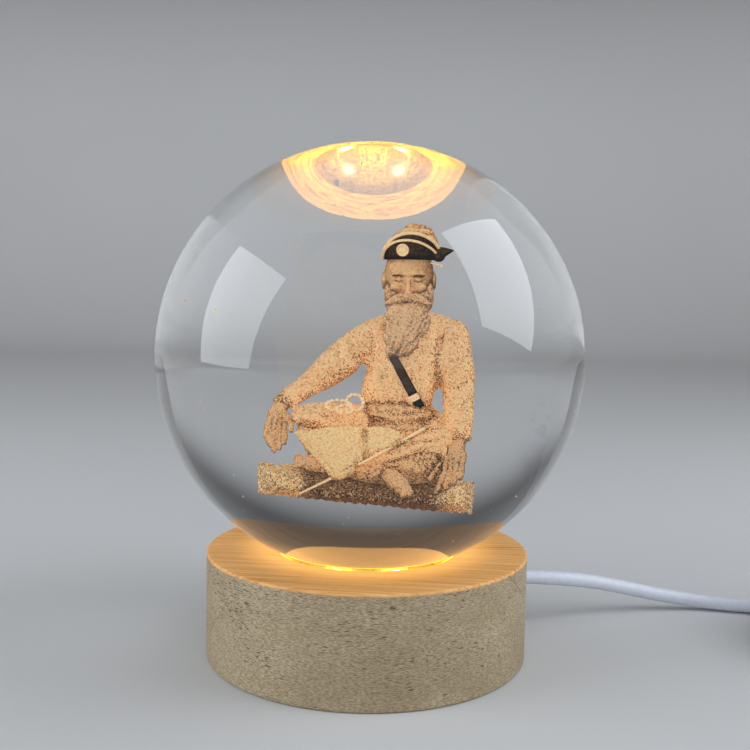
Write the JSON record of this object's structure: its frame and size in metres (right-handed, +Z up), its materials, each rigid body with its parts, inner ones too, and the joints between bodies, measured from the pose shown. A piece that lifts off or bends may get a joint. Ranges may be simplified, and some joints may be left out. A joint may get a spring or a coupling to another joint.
{
  "type": "crystal ball lamp",
  "caption": "Clear glass ball with a seated figure engraved inside, resting on a round lit wooden base with a USB lead, inline push switch and plug.",
  "frame": {"origin": "centre of the wooden base's underside, which the lamp stands on", "axes": "+Z up through the centre of the ball; the engraved figure faces -Y; the lead leaves the base towards +X and slightly +Y"},
  "size_m": [0.2542, 0.08, 0.0964],
  "materials": {
    "wood": "bare sanded beech with short dark flecks",
    "clear_glass": "polished clear",
    "engraving": "matt cloud of fine engraved points, lit warm from below",
    "board_white": "white solder mask",
    "led": "white frame round a yellow window, glowing warm",
    "black_plastic": "fine matt",
    "white_plastic": "satin moulded",
    "steel": "plated",
    "contact_gold": "gold plated",
    "cord_white": "smooth soft PVC",
    "lead_red": "smooth PVC",
    "lead_black": "smooth PVC"
  },
  "bodies": {
    "lamp": {"wooden_base": "wood", "led_board": "board_white", "led_1": "led", "led_2": "led", "led_3": "led", "led_4": "led", "resistor_1": "black_plastic", "resistor_2": "black_plastic", "resistor_3": "black_plastic", "resistor_4": "black_plastic", "board_screw_1": "steel", "board_screw_2": "steel", "board_screw_3": "steel", "bottom_cover": "black_plastic", "cover_screw_1": "steel", "cover_screw_2": "steel", "cover_screw_3": "steel", "cord_stop": "white_plastic", "red_lead": "lead_red", "black_lead": "lead_black", "power_cord": "cord_white", "cord_coil": "cord_white", "coil_tie": "white_plastic", "cord_to_switch": "cord_white", "switch_lower_shell": "white_plastic", "switch_upper_shell": "white_plastic", "switch_core": "black_plastic", "switch_live_in": "lead_red", "switch_live_out": "lead_red", "switch_return": "lead_black", "cord_to_plug": "cord_white", "plug_body": "white_plastic", "plug_shell": "steel", "plug_tongue": "white_plastic", "plug_contact_1": "contact_gold", "plug_contact_2": "contact_gold", "plug_contact_3": "contact_gold", "plug_contact_4": "contact_gold"},
    "ball": {"crystal_ball": "clear_glass", "engraved_figure": "engraving"},
    "button": {"switch_button": "white_plastic"}
  },
  "joints": [
    {"name": "ball_lift", "type": "slide", "parent": "lamp", "child": "ball", "axis": [0, 0, 1], "range_m": [0, 0.04]},
    {"name": "button_press", "type": "slide", "parent": "lamp", "child": "button", "axis": [0, 0, -1], "range_m": [0, 0.0013], "stiffness_N_per_m": 400}
  ]
}
